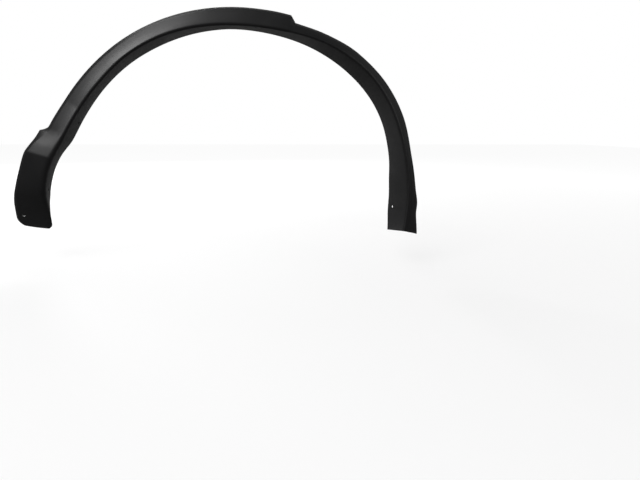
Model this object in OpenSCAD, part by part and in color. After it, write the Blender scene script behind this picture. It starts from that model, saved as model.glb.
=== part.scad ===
// Wheel arch trim of a van, a lofted plastic moulding with its nylon plugs and screw grommets.
// The arch is drawn round the wheel centre: angles are counted from the narrow leg, over the
// crown, to the foot. Y is zero on the body panel, and the outer face looks towards -Y.

/* [Arch] */
// Radius of the outer edge where it lies on the body panel
arch_r = 476; // [450:1:500]
// Width of the band at the crown, from the outer edge to the free edge of the lip
band_w = 46.5; // [40:0.5:54]
// How far the opening's circle is set towards the narrow leg, so that the band widens to the foot
opening_set = 11; // [4:0.5:14]
// Width of the face from the outer edge to the fold, before the fold leaves its circle
fold_w = 46; // [42:0.5:52]
// Angle at which the narrow leg ends, below the wheel centre
leg_end = -9.5; // [-11:0.1:-7.5]
// Angle at which the foot ends, below the wheel centre
foot_end = 188.3; // [187.9:0.1:188.7]

/* [Section] */
// Wall thickness of the moulding
wall = 2.8; // [2:0.1:3.2]
// How far the fold stands out from the body panel
fold_out = 25; // [20:0.5:30]
// How far the lip reaches behind the body panel
lip_back = 38; // [30:0.5:44]
// Width of the bevel along the outer edge
bevel_w = 8; // [6:0.5:9]
// How far the bevel rises at the crown
crown_rise = 14; // [10:0.5:16]
// How far the bevel rises along the two sides
side_rise = 8; // [6:0.5:10]
// Length of face and lip that the fold rounds off, on each side of its corner
fold_round = 9; // [6:0.5:11]
// The same length on the foot, where the fold is softer
foot_fold_round = 15; // [11:0.5:18]
// Bulge of the face between bevel and fold
face_crown = 1.4; // [0.6:0.1:1.8]
// Width of the hem turned out at the free edge of the lip
hem_w = 5; // [4:0.5:7]

/* [Step and foot] */
// Angle of the step in the outer edge, where the trim narrows
step_at = 71; // [68:0.5:73]
// Height of that step
step_h = 14; // [8:0.5:18]
// Angle of the notch above the foot
notch_at = 157.9; // [157.4:0.1:158.6]
// How far the foot stands out past the notch
notch_h = 18; // [12:0.5:22]
// Angle of the ridge across the foot
ridge_at = 165.5; // [164:0.5:167]
// How far that ridge stands out in front of the arch
ridge_out = 15; // [8:0.5:20]
// How far the turned-back end of the foot lies behind the body panel
heel_back = 38; // [28:1:44]
// Rake of the foot's lower edge, in degrees across its width
heel_rake = 1.8; // [0:0.1:2.4]
// Rake of the leg's lower edge, in degrees from the fold back to the lip's free edge
leg_rake = 1.7; // [0:0.1:2]

/* [Plugs] */
// Distance of a plug from the outer edge
plug_inset = 20; // [19:0.5:22]
// Diameter of the flange that the tower traps
plug_flange_d = 15; // [13:0.5:16]
// Thickness of that flange
plug_flange_t = 1.6; // [1.2:0.1:2]
// Diameter of the neck in the keyhole
plug_neck_d = 7; // [5:0.5:8]
// Diameter of the collar that rests on the tower
plug_collar_d = 16; // [14:0.5:18]
// Thickness of that collar
plug_collar_t = 1.3; // [1:0.1:1.6]
// Length of the split plug above its collar
plug_len = 16; // [12:0.5:20]
// Diameter over the barb of the plug
plug_barb_d = 14; // [12:0.5:15]
// Diameter of the plug at its mouth
plug_mouth_d = 11; // [10:0.5:12]
// Bore of the hollow plug
plug_bore_d = 7; // [6:0.5:8]
// Width of the slot down one side of the plug
plug_slot_w = 5; // [3:0.5:6]

/* [Screw grommets] */
// Distance of a grommet from the outer edge at the crown
grommet_inset = 20; // [19:0.5:22]
// Diameter of the round flange of a grommet
grommet_d = 19; // [16:0.5:20]
// Thickness of the flange
grommet_t = 1.8; // [1.2:0.1:1.8]
// Side of the square shank
shank_w = 9; // [8:0.5:10]
// Length of the shank below the flange
shank_len = 7; // [5:0.5:8]
// Gap between the shank of the leg's grommet and the wall below it
shank_gap = 0.3; // [0.2:0.05:0.8]
// Radius of the screw bore
screw_r = 2.5; // [2:0.1:3]
// Distance of the leg's grommet from the outer edge
leg_inset = 15; // [14:0.5:16]
// Radial width of the leg's square grommet
leg_flange_w = 12; // [11:0.5:13]
// Height of the leg's square grommet along the arch
leg_flange_h = 15; // [13:0.5:17]

/* [Clip towers] */
// Thickness of a tower's side walls
tower_wall = 2; // [1.6:0.1:2.4]
// Thickness of the plate on a tower
plate_t = 1.8; // [1.4:0.1:2.2]
// Distance of the plate below the body panel
seat_drop = 2; // [1.9:0.1:3]
// How much higher the last plug's plate sits, where the foot turns back
heel_lift = 5; // [4.5:0.5:8]
// Gap between a seated piece and the moulding
seat_gap = 0.2; // [0.1:0.05:0.3]

/* [Screw holes and ribs] */
// Radius of the screw holes in the lip
lip_hole_r = 3.5; // [2.5:0.1:4]
// Radius of the flat pad round such a hole
pad_r = 8; // [7:0.5:9]
// Thickness of the pads
pad_t = 4; // [3.6:0.1:5]
// Length of the slot in the foot
slot_len = 14; // [12:0.5:16]
// Width of the slot in the foot
slot_w = 7.5; // [6:0.5:8]
// Thickness of the ribs
rib_t = 1.6; // [1.2:0.1:2]
// Height of the two ribs on the foot
heel_rib_h = 6; // [5:0.5:8]
// How far those ribs run past the slot, towards the wheel
heel_rib_run = 18; // [14:1:22]
// Width of the locating tab under the leg
tab_w = 12; // [8:0.5:14]
// Length of that tab
tab_len = 2; // [1.5:0.5:4]

/* [Hidden] */

PLASTIC = [0.09, 0.09, 0.095];
NYLON = [0.93, 0.9, 0.72];
GROMMET = [0.05, 0.05, 0.055];

// Angles of the plugs and grommets round the arch
PLUG_AT = [117.5, 131, 151.5, ridge_at, 176.5];
// Direction in which each plug's slot is turned
PLUG_TURN = [35, 35, 90, 90, -90];
CROWN_AT = 90;
FRONT_AT = 105;
REAR_AT = 77.5;
LEG_AT = 11.2;
// Angles and depths of the screw holes in the lip, and how far each leans off square, in degrees
LIP_HOLES = [[-2, 24, 0], [152.6, 18, 0], [176, 6, 3.5]];
// The foot's slot, its two ribs and the gussets in the leg's channel
SLOT_AT = 185;
SLOT_INSET = 20;
HEEL_RIBS = [182.6, 183.6];
GUSSETS = [5.9, 7.8, 33.8];
// How far down the lip a gusset reaches, as a share
GUSSET_SHARE = 0.6;
// Distance of the locating tab's middle from the bevel
TAB_INSET = 16.5;
// Extra inset of the plug that sits on the foot's ridge
RIDGE_INSET = 12;
function inset_of(i) = plug_inset + (PLUG_AT[i] == ridge_at ? RIDGE_INSET : 0);

// Lengths in degrees of the step, of the notch and of the stretch over which the leg's edge meets the step
STEP_RUN = 1.9;
NOTCH_RUN = 2.1;
STEP_LEAD = 22;
// How late the notch turns out in its run, and the degrees over which the bevel follows it
NOTCH_BEND = 2;
NOTCH_FADE = 6;
// Angles from which the foot's and the leg's end are raked, and the foot's width there
RAKE_FROM = 179;
LEG_RAKE_FROM = -4;
RAKE_WIDTH = 62;
// How far before that angle the foot already turns back
HEEL_LEAD = 6;
// Edge rounding of the bevel and of the hem, and the angles over which the fold gets softer
SOFT = 1.5;
SOFT_FROM = 155;
SOFT_TO = 166;
// Depth below the outer skin at which pads and towers start, and where a tower's pocket stops
PAD_ROOT = 0.8;
TOWER_ROOT = 0.7;
POCKET_FLOOR = wall + 0.4;
// Room round a round grommet on its tower: along the radius and along the arch
TOWER_RIM_R = 5;
TOWER_RIM_Z = 0.5;
// Narrowing of the round flange, of the plug's collar and of the barb's foot
GROMMET_DRAFT = 0.6;
COLLAR_DRAFT = 0.5;
BARB_DRAFT = 1.5;
// Where the barb is widest, as shares of the plug's length, and the plug's closed bottom
BARB_FROM = 0.4;
BARB_TO = 0.5;
PLUG_FLOOR = 1;
// How far a cut runs past the face that it opens, and the overlap of solids that are joined
PAST = 1;
EPS = 0.01;

// Departure of the outer edge from its circle: leg, crown and foot, with the step and notch between
LEG_EDGE = [[-9.4, -16.5], [-3.4, -23.4], [0, -21.4], [4, -23.7], [9, -23], [16, -19.3], [27, -5.3], [38, 2.2],
            [48, 2.5], [57, 2], [63, 3], [70, 2.5]];
CROWN_EDGE = [[72, 3], [84, 0], [120, 0.5], [148, -2.5], [157, 1]];
FOOT_EDGE = [[158.9, -0.6], [161.4, 3.6], [164.3, 13], [166, 18.2], [170.6, 22.4], [175.5, 28.5], [178.7, 33.8],
             [181.6, 37.5], [184, 38.6], [186.4, 37.6], [187.6, 31], [188.3, 22]];
// Departure of the fold from its circle
FOLD_WAY = [[-9.4, -16], [6, -6], [15, 0], [24, 8], [33, 17], [43, 22], [50, 20], [59, 15], [68, 6], [76, -1],
            [85, -4], [95, -2.5], [105, 1], [115, 4], [127, 3], [138, -2], [153, -2], [160, 1], [165.5, 8],
            [171, 14], [178, 15], [183, 13], [186.4, 13], [187.5, 15], [188.3, 21]];
// Departure of the lip from the opening's circle
LEG_LIP = [[-9.4, -36], [-4, -41], [2, -39], [8, -35], [14, -26], [20, -18], [26, -10], [32, -4.5], [38, -1.5],
           [46, -0.4], [60, -1.2], [76, -3.2], [90, -1.5]];
FOOT_LIP = [[90, 0], [103, -0.6], [115, -1.2], [126, -0.7], [137, -1.9], [146, -3.3], [151, -3.2], [156, -2.7],
            [159.4, -0.5], [162, 5.4], [164.5, 11.6], [169, 19.5], [173.5, 24.5], [176, 26.8], [178.6, 28.8],
            [181, 30.6], [184, 31], [186.6, 31], [187.5, 31.6], [188.3, 38.5]];
// How much of the crown's flat bevel each angle has, from none to all of it
CROWN_SHARE = [[40, 0], [62, 0.7], [78, 1], [98, 1], [118, 0.35], [134, 0]];
// How far the foot comes forward, as a share of the ridge, and how far its end goes back
RIDGE_SHARE = [[148, 0], [157, 0.45], [165.5, 1]];
HEEL_SHARE = [[165.5, 0], [172, 0.1], [177, 0.25], [180, 0.5], [182.5, 0.75], [185, 0.91], [187.4, 1]];
// How far the lip reaches back along the foot, and how far the fold still stands out, as shares
LIP_SHARE = [[150, 1], [157, 0.9], [165.5, 0.55], [172, 0.52], [178, 0.57], [181, 0.4], [184, 0.17], [187.4, 0.1]];
FOLD_SHARE = [[165.5, 1], [175, 0.85], [181, 0.55], [187.4, 0.3]];

// Value of a smooth curve through the points [x, value] of a list
function slope(t, i) =
    let(a = max(i - 1, 0), b = min(i + 1, len(t) - 1))
    (t[b][1] - t[a][1]) / (t[b][0] - t[a][0]);
function interval(t, x, i = 0) = (i >= len(t) - 2 || x < t[i + 1][0]) ? i : interval(t, x, i + 1);
function along(t, x) =
    let(q = min(max(x, t[0][0]), t[len(t) - 1][0]),
        i = interval(t, q),
        h = t[i + 1][0] - t[i][0],
        u = (q - t[i][0]) / h,
        v = 1 - u)
    t[i][1] * (1 + 2 * u) * v * v + t[i + 1][1] * u * u * (3 - 2 * u)
    + h * (slope(t, i) * u * v * v - slope(t, i + 1) * u * u * v);
function ramp(x, from, to) = min(max((x - from) / (to - from), 0), 1);
function ease(u) = u * u * (3 - 2 * u);
function mix(a, b, u) = a + (b - a) * u;

// Radius and depth of the guide lines at an angle
function stepped_r(a, foot_share) =
    let(step = ramp(a, step_at - STEP_RUN / 2, step_at + STEP_RUN / 2),
        leg = along(LEG_EDGE, a) - step_h * ease(ramp(a, step_at - STEP_LEAD, step_at)),
        crown = along(CROWN_EDGE, a),
        foot = along(FOOT_EDGE, a) + notch_h)
    arch_r + mix(mix(leg, crown, step), foot, foot_share);
NOTCH_FROM = notch_at - NOTCH_RUN / 2;
function edge_r(a) = stepped_r(a, pow(ramp(a, NOTCH_FROM, NOTCH_FROM + NOTCH_RUN), NOTCH_BEND));
function bevel_r(a) = stepped_r(a, ease(ramp(a, NOTCH_FROM, NOTCH_FROM + NOTCH_FADE))) - bevel_w;
function edge_y(a) =
    -ridge_out * along(RIDGE_SHARE, a) + (ridge_out + heel_back) * along(HEEL_SHARE, a);
function bevel_y(a) =
    edge_y(a) - mix(side_rise, crown_rise, along(CROWN_SHARE, a)) * along(FOLD_SHARE, a);
function corner_r(a) = arch_r - fold_w + along(FOLD_WAY, a);
function corner_y(a) = edge_y(a) - fold_out * along(FOLD_SHARE, a);
function lip_r(a) = arch_r - band_w + opening_set * cos(a) + along(LEG_LIP, a) + along(FOOT_LIP, a);
function lip_y(a) = lip_back * along(LIP_SHARE, a) + heel_back * along(HEEL_SHARE, a);

// Outer skin of the section at an angle, as [radius, depth], from the edge to the hem
function bend(a, b, c, u) = (1 - u) * (1 - u) * a + 2 * u * (1 - u) * b + u * u * c;
function toward(from, to, d) = from + (to - from) * min(0.45, d / norm(to - from));
function skin(a) =
    let(edge = [edge_r(a), edge_y(a)],
        bevel = [bevel_r(a), bevel_y(a)],
        corner = [corner_r(a), corner_y(a)],
        lip = [lip_r(a), lip_y(a)],
        hem = [lip_r(a) + hem_w, lip_y(a)],
        middle = (bevel + corner) / 2 - [0, face_crown],
        soft = mix(fold_round, foot_fold_round, ramp(a, SOFT_FROM, SOFT_TO)),
        face_end = toward(corner, middle, soft),
        lip_start = toward(corner, lip, soft))
    concat(
        [edge, toward(bevel, edge, SOFT), toward(bevel, middle, SOFT), middle],
        [for (u = [0:0.25:1]) bend(face_end, corner, lip_start, u)],
        [(lip_start + lip) / 2, toward(lip, lip_start, SOFT), toward(lip, hem, SOFT), hem]);

// The same skin moved through the wall, towards the body
function back_of(v) = [v[1], -v[0]] / norm(v);
function lining(p) =
    [for (i = [0:len(p) - 1])
        let(n1 = back_of(p[max(i, 1)] - p[max(i, 1) - 1]),
            last = len(p) - 1,
            n2 = back_of(p[min(i + 1, last)] - p[min(i, last - 1)]),
            m = (n1 + n2) / norm(n1 + n2))
        p[i] + m * wall / max(m * n1, 0.7)];
function reversed(p) = [for (i = [len(p) - 1:-1:0]) p[i]];
function ring(a) = let(p = skin(a)) concat(p, reversed(lining(p)));

// Turns that rake the lower edges: the foot's across its width, the leg's across its depth
function rake(a, r) = heel_rake * ramp(a, RAKE_FROM, foot_end) * (arch_r - r) / RAKE_WIDTH;
function leg_turn(a, y) = -leg_rake * ramp(a, LEG_RAKE_FROM, leg_end) * y / (fold_out + lip_back);
function place(a, p) =
    let(q = a + rake(a, p[0]) + leg_turn(a, p[1]))
    [p[0] * cos(q), p[1], p[0] * sin(q)];

// Stations of the loft, close together where the shape changes fast
STATIONS = concat(
    [leg_end],
    [for (a = [-8:2:18]) a],
    [for (a = [21:3:66]) a],
    [68.5, step_at - STEP_RUN / 2, step_at, step_at + STEP_RUN / 2],
    [for (a = [74:3:152]) a],
    [153.5, 155.2],
    [for (u = [0, 0.4, 0.6, 0.75, 0.88, 1]) NOTCH_FROM + NOTCH_RUN * u],
    [159.6, 160.6, 161.6, 162.8],
    [ridge_at - 1.4, ridge_at - 0.5, ridge_at + 0.5, ridge_at + 1.4],
    [for (a = [169:2:175]) a],
    [for (a = [176.5:1:183.5]) a],
    [184.5, 185.5, 186.4, 187, 187.6, foot_end]);

module loft(rings) {
    n = len(rings[0]);
    last = len(rings) - 1;
    points = [for (r = rings) each r];
    sides = [for (k = [0:last - 1]) for (i = [0:n - 1])
        let(j = (i + 1) % n, p = k * n + i, q = k * n + j, s = q + n, t = p + n)
        each [[p, q, s], [p, s, t]]];
    half = n / 2;
    strips = [for (i = [0:half - 2]) [i, i + 1, n - 2 - i, n - 1 - i]];
    first_cap = [for (f = strips) each [[f[0], f[3], f[2]], [f[0], f[2], f[1]]]];
    last_cap = [for (f = first_cap) [f[0] + last * n, f[2] + last * n, f[1] + last * n]];
    polyhedron(points = points, faces = concat(sides, first_cap, last_cap));
}

module shell() {
    loft([for (a = STATIONS) [for (p = ring(a)) place(a, p)]]);
}

// Moves a child to a seat: X along the radius, Z along the arch, Y into the body
function seat_y(a) = edge_y(a) - seat_drop + (a > RAKE_FROM - HEEL_LEAD ? heel_lift : 0);
module at_seat(a, inset) {
    r = edge_r(a) - inset;
    translate([r * cos(a), seat_y(a), r * sin(a)]) rotate([0, -a, 0]) children();
}

// Depth of the face's chord, seen from a seat, at a point beside that seat
function chord_y(a, r) =
    mix(bevel_y(a), corner_y(a), ramp(r, bevel_r(a), corner_r(a)));
function under(a, inset, x, z) =
    let(r0 = edge_r(a) - inset, r = norm([r0 + x, z]), q = a + atan2(z, r0 + x))
    chord_y(q, r) - seat_y(a);

// A block under the seat plane whose foot follows the face
module block(a, inset, x0, x1, z, top, above) {
    x = [x0, x1, x1, x0];
    zz = [-z, -z, z, z];
    points = concat(
        [for (i = [0:3]) [x[i], under(a, inset, x[i], zz[i]) + above, zz[i]]],
        [for (i = [0:3]) [x[i], top, zz[i]]]);
    polyhedron(points = points, faces = [
        [0, 2, 1], [0, 3, 2], [4, 5, 6], [4, 6, 7],
        [0, 5, 4], [0, 1, 5], [1, 6, 5], [1, 2, 6], [2, 7, 6], [2, 3, 7], [3, 4, 7], [3, 0, 4]]);
}

// Tower that traps a plug: a box open on the wheel side, with a keyhole in its plate
module plug_tower(a, inset) {
    pocket = plug_flange_d / 2 + seat_gap;
    half = pocket + tower_wall;
    neck = plug_neck_d / 2 + seat_gap;
    at_seat(a, inset) difference() {
        block(a, inset, -half, half, half, 0, TOWER_ROOT);
        block(a, inset, -half - PAST, pocket, pocket, -plate_t, POCKET_FLOOR);
        rotate([90, 0, 0]) cylinder(r = neck, h = 2 * (plate_t + PAST), center = true, $fn = 32);
        translate([-half - PAST, -plate_t - PAST, -neck]) cube([half + PAST, plate_t + 2 * PAST, 2 * neck]);
    }
}

// Tower for a grommet: a box open on the wheel side, with a square hole in its plate
module grommet_tower(a, inset, half_r, half_z) {
    hole = shank_w / 2 + seat_gap;
    at_seat(a, inset) difference() {
        block(a, inset, -half_r, half_r, half_z, 0, TOWER_ROOT);
        block(a, inset, -half_r - PAST, half_r - tower_wall, half_z - tower_wall, -plate_t, POCKET_FLOOR);
        translate([-hole, -plate_t - PAST, -hole]) cube([2 * hole, plate_t + 2 * PAST, 2 * hole]);
    }
}

// Screw pads behind the lip: Z leads away from the wheel, square to the lip or leaning towards the body
module at_lip(hole) {
    a = hole[0];
    share = ramp(hole[1], corner_y(a), lip_y(a));
    r = mix(corner_r(a), lip_r(a), share);
    lip_slope = atan2(lip_r(a) - corner_r(a), lip_y(a) - corner_y(a));
    translate([r * cos(a), hole[1], r * sin(a)]) rotate([0, -a, 0]) rotate([0, 90, hole[2] - lip_slope])
        translate([0, 0, pad_t / 2]) children();
}

module slot_form(len, w, h) {
    for (x = [-1, 1]) translate([x * (len - w) / 2, 0, 0]) rotate([90, 0, 0])
        cylinder(d = w, h = h, center = true, $fn = 32);
    cube([len - w, h, w], center = true);
}

// Seat of the foot's slot, behind the face and square to the slope of the heel
function on_face(a, r) = place(a, [r, chord_y(a, r)]);
module at_slot() {
    r = edge_r(SLOT_AT) - SLOT_INSET;
    seat = on_face(SLOT_AT, r);
    along_heel = on_face(SLOT_AT + 1, r) - on_face(SLOT_AT - 1, r);
    across_heel = on_face(SLOT_AT, r + 1) - seat;
    heel_slope = atan2(along_heel[1], norm([along_heel[0], along_heel[2]]));
    cross_slope = atan2(across_heel[1], 1);
    translate(seat) rotate([0, -SLOT_AT - rake(SLOT_AT, r), 0]) rotate([-heel_slope, 0, cross_slope])
        translate([0, pad_t / 2, 0]) children();
}

// Thin gusset across the leg's channel, from the face to the lip, rooted in the middle of both walls
module gusset(a) {
    corner = [corner_r(a), corner_y(a)];
    bevel = [bevel_r(a), bevel_y(a)];
    lip = [lip_r(a), lip_y(a)];
    root = toward(corner, bevel, fold_round);
    face = toward(bevel, corner, SOFT);
    high = mix(corner, lip, GUSSET_SHARE);
    inward = back_of(bevel - corner) * wall / 2;
    rotate([0, -a, 0]) translate([0, 0, -rib_t / 2]) linear_extrude(rib_t) polygon([
        face - inward, root - inward, toward(corner, lip, fold_round) + [wall / 2, 0], high + [wall / 2, 0]]);
}

// Low rib behind the heel, along the raked line of the foot's end
module heel_rib(a) {
    inner = on_face(a, edge_r(a) - SLOT_INSET - heel_rib_run);
    outer = on_face(a, bevel_r(a));
    way = outer - inner;
    run = norm([way[0], way[2]]);
    translate([inner[0], 0, inner[2]]) rotate([0, -atan2(way[2], way[0]), 0])
        translate([0, 0, -rib_t / 2]) linear_extrude(rib_t) polygon([
            [0, inner[1] + wall / 2], [run, outer[1] + wall / 2],
            [run, outer[1] + heel_rib_h], [0, inner[1] + heel_rib_h]]);
}

// Locating tab under the leg, on the back of its face
module leg_tab() {
    r = bevel_r(leg_end) - TAB_INSET;
    y = chord_y(leg_end, r);
    rotate([0, -leg_end - leg_turn(leg_end, y), 0]) translate([r - tab_w / 2, y + wall / 2, -tab_len])
        cube([tab_w, wall / 2, tab_len + wall]);
}

module arch_moulding() {
    color(PLASTIC) difference() {
        union() {
            shell();
            for (i = [0:4]) plug_tower(PLUG_AT[i], inset_of(i));
            for (a = [CROWN_AT, FRONT_AT, REAR_AT])
                grommet_tower(a, grommet_inset, shank_w / 2 + TOWER_RIM_R, grommet_d / 2 + TOWER_RIM_Z);
            grommet_tower(LEG_AT, leg_inset, leg_flange_w / 2 + tower_wall / 2, leg_flange_h / 2 + tower_wall);
            for (h = LIP_HOLES) at_lip(h) translate([0, 0, PAD_ROOT / 2])
                cylinder(r = pad_r, h = pad_t - PAD_ROOT, center = true, $fn = 48);
            at_slot() translate([0, PAD_ROOT / 2, 0]) slot_form(slot_len + pad_r, slot_w + pad_r, pad_t - PAD_ROOT);
            for (a = HEEL_RIBS) heel_rib(a);
            for (a = GUSSETS) gusset(a);
            leg_tab();
        }
        for (h = LIP_HOLES) at_lip(h) cylinder(r = lip_hole_r, h = 4 * pad_t, center = true, $fn = 48);
        at_slot() slot_form(slot_len, slot_w, 4 * pad_t);
    }
}

// Hollow split plug of nylon: flange, neck, collar and barbed body
module nylon_plug() {
    collar_y = seat_gap;
    body_y = collar_y + plug_collar_t;
    flange_y = -plate_t - seat_gap;
    color(NYLON) difference() {
        rotate([-90, 0, 0]) rotate_extrude($fn = 40) polygon([
            [0, flange_y - plug_flange_t], [plug_flange_d / 2, flange_y - plug_flange_t],
            [plug_flange_d / 2, flange_y], [plug_neck_d / 2, flange_y],
            [plug_neck_d / 2, collar_y], [plug_collar_d / 2, collar_y],
            [plug_collar_d / 2 - COLLAR_DRAFT, body_y], [plug_barb_d / 2 - BARB_DRAFT, body_y],
            [plug_barb_d / 2, body_y + plug_len * BARB_FROM], [plug_barb_d / 2, body_y + plug_len * BARB_TO],
            [plug_mouth_d / 2, body_y + plug_len], [0, body_y + plug_len]]);
        translate([0, body_y + PLUG_FLOOR, 0]) rotate([-90, 0, 0]) cylinder(d = plug_bore_d, h = plug_len, $fn = 32);
        translate([0, body_y + PLUG_FLOOR, -plug_slot_w / 2]) cube([plug_barb_d, plug_len, plug_slot_w]);
    }
}

module plug(i) {
    a = PLUG_AT[i];
    at_seat(a, inset_of(i)) rotate([0, a - PLUG_TURN[i], 0]) nylon_plug();
}

// Black screw grommet: a flange on the tower, a square shank in it and a bore for the screw
module shank_and_bore(len) {
    difference() {
        union() {
            children();
            translate([-shank_w / 2, -len, -shank_w / 2]) cube([shank_w, len + seat_gap + EPS, shank_w]);
        }
        rotate([90, 0, 0]) cylinder(r = screw_r, h = 4 * len, center = true, $fn = 40);
    }
}

module round_grommet(a) {
    color(GROMMET) at_seat(a, grommet_inset) shank_and_bore(shank_len)
        translate([0, seat_gap, 0]) rotate([-90, 0, 0])
            cylinder(r1 = grommet_d / 2, r2 = grommet_d / 2 - GROMMET_DRAFT, h = grommet_t, $fn = 48);
}

// The leg's shank ends a gap short of the sloping wall, at the shank's outer corner
function leg_shank_len(a) =
    let(r = edge_r(a) - leg_inset,
        across = [bevel_r(a) - corner_r(a), bevel_y(a) - corner_y(a)],
        depth = max([for (z = [-1, 1]) under(a, leg_inset, shank_w / 2, z * shank_w / 2)]))
    -depth - wall * norm(across) / across[0] - shank_gap;

module square_grommet(a) {
    color(GROMMET) at_seat(a, leg_inset) shank_and_bore(leg_shank_len(a))
        translate([-leg_flange_w / 2, seat_gap, -leg_flange_h / 2]) cube([leg_flange_w, grommet_t, leg_flange_h]);
}

// Everything is moved so that the crown grommet's bore, on the body panel, is the origin
ORIGIN_R = edge_r(CROWN_AT) - grommet_inset;
module framed() {
    translate([0, 0, -ORIGIN_R]) children();
}

framed() arch_moulding();
framed() plug(0);  // nylon_plug_1
framed() plug(1);  // nylon_plug_2
framed() plug(2);  // nylon_plug_3
framed() plug(3);  // nylon_plug_4
framed() plug(4);  // nylon_plug_5
framed() round_grommet(CROWN_AT);  // crown_grommet
framed() round_grommet(FRONT_AT);  // front_grommet
framed() round_grommet(REAR_AT);  // rear_grommet
framed() square_grommet(LEG_AT);  // leg_grommet
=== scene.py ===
import math

import bmesh
import bpy
from mathutils import Matrix, Vector


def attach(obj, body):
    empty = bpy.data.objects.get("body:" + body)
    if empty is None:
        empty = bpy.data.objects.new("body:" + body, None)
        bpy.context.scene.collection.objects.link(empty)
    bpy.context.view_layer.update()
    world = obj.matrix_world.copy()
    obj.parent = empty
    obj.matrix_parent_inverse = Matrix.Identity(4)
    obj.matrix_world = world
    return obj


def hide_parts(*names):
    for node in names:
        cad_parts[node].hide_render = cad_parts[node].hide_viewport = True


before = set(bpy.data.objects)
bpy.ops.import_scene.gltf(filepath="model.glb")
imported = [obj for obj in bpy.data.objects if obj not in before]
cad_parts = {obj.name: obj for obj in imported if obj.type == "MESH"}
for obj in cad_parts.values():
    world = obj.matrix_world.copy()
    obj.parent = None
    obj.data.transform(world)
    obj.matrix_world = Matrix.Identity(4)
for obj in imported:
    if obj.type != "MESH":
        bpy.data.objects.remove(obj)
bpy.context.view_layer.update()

# Camera
# It looks square at the trim's outer face from in front of the body panel, below the
# crown and left of the middle. The shift puts the trim where the photograph has it.
camera_data = bpy.data.cameras.new("camera")
camera_data.sensor_width = 36.0
camera_data.lens = 26.62
camera_data.shift_x = 0.227
camera_data.shift_y = -0.187
camera = bpy.data.objects.new("camera", camera_data)
camera.location = (-0.135, -1.15, -0.2559)
camera.rotation_euler = (math.radians(90), 0, 0)
bpy.context.collection.objects.link(camera)
bpy.context.scene.camera = camera


# Moulding: the shell
# One injection moulding in black polypropylene, 2.8 mm thick. Its guide lines follow
# the angle round the wheel centre, from the narrow leg over the crown to the foot.
MM = 0.001
ARCH_R = 476
BAND_W = 46.5
OPENING_SET = 11
FOLD_W = 46
LEG_END = -9.5
FOOT_END = 188.3
WALL = 2.8
FOLD_OUT = 25
LIP_BACK = 38
BEVEL_W = 8
CROWN_RISE = 14
SIDE_RISE = 8
FOLD_ROUND = 9
FOOT_FOLD_ROUND = 15
SOFT_FROM = 155
SOFT_TO = 166
FACE_CROWN = 1.4
HEM_W = 5
STEP_AT = 71
STEP_H = 14
STEP_RUN = 1.9
STEP_LEAD = 22
NOTCH_FROM = 156.85
NOTCH_H = 18
NOTCH_RUN = 2.1
NOTCH_BEND = 2
NOTCH_FADE = 6
RIDGE_AT = 165.5
RIDGE_OUT = 15
RIDGE_SOFT = 0.35
HEEL_BACK = 38
HEEL_RAKE = 1.8
RAKE_FROM = 179
RAKE_WIDTH = 62
LEG_RAKE = 1.7
LEG_RAKE_FROM = -4
TOWER_INSET = 20
EDGE_ROUND = 0.6
BEVEL_ROUND = 2.2
HEM_ROUND = 0.7
BACK_LIP_ROUND = 1.0
BACK_BEVEL_ROUND = 0.8
BACK_FOLD_LESS = 3
FULL_SIDE = 99
SIDE_SHARE = 0.45
MITRE_LIMIT = 0.7
END_SOFT = 0.4
END_STEP = 0.05
WIDE_STEP = 0.5

# Each guide line is a list of places along the arch: an angle in degrees, then an offset in
# millimetres. In the lists named as shares it is a part of a depth, or of the way between two.
LEG_EDGE = [(-9.4, -16.5), (-3.4, -23.4), (0, -21.4), (4, -23.7), (9, -23), (16, -19.3), (27, -5.3),
            (38, 2.2), (48, 2.5), (57, 2), (63, 3), (70, 2.5)]
CROWN_EDGE = [(72, 3), (84, 0), (120, 0.5), (148, -2.5), (157, 1)]
FOOT_EDGE = [(158.9, -0.6), (161.4, 3.6), (164.3, 13), (166, 18.2), (170.6, 22.4), (175.5, 28.5),
             (178.7, 33.8), (181.6, 37.5), (184, 38.6), (186.4, 37.6), (187.6, 31), (188.3, 22)]
FOLD_WAY = [(-9.4, -16), (6, -6), (15, 0), (24, 8), (33, 17), (43, 22), (50, 20), (59, 15), (68, 6),
            (76, -1), (85, -4), (95, -2.5), (105, 1), (115, 4), (127, 3), (138, -2), (153, -2), (160, 1),
            (165.5, 8), (171, 14), (178, 15), (183, 13), (186.4, 13), (187.5, 15), (188.3, 21)]
LEG_LIP = [(-9.4, -36), (-4, -41), (2, -39), (8, -35), (14, -26), (20, -18), (26, -10), (32, -4.5),
           (38, -1.5), (46, -0.4), (60, -1.2), (76, -3.2), (90, -1.5)]
FOOT_LIP = [(90, 0), (103, -0.6), (115, -1.2), (126, -0.7), (137, -1.9), (146, -3.3), (151, -3.2),
            (156, -2.7), (159.4, -0.5), (162, 5.4), (164.5, 11.6), (169, 19.5), (173.5, 24.5), (176, 26.8),
            (178.6, 28.8), (181, 30.6), (184, 31), (186.6, 31), (187.5, 31.6), (188.3, 38.5)]
CROWN_SHARE = [(40, 0), (62, 0.7), (78, 1), (98, 1), (118, 0.35), (134, 0)]
RIDGE_SHARE = [(148, 0), (157, 0.45), (165.5, 1)]
HEEL_SHARE = [(165.5, 0), (172, 0.1), (177, 0.25), (180, 0.5), (182.5, 0.75), (185, 0.91), (187.4, 1)]
LIP_SHARE = [(150, 1), (157, 0.9), (165.5, 0.55), (172, 0.52), (178, 0.57), (181, 0.4), (184, 0.17),
             (187.4, 0.1)]
FOLD_SHARE = [(165.5, 1), (175, 0.85), (181, 0.55), (187.4, 0.3)]


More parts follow.
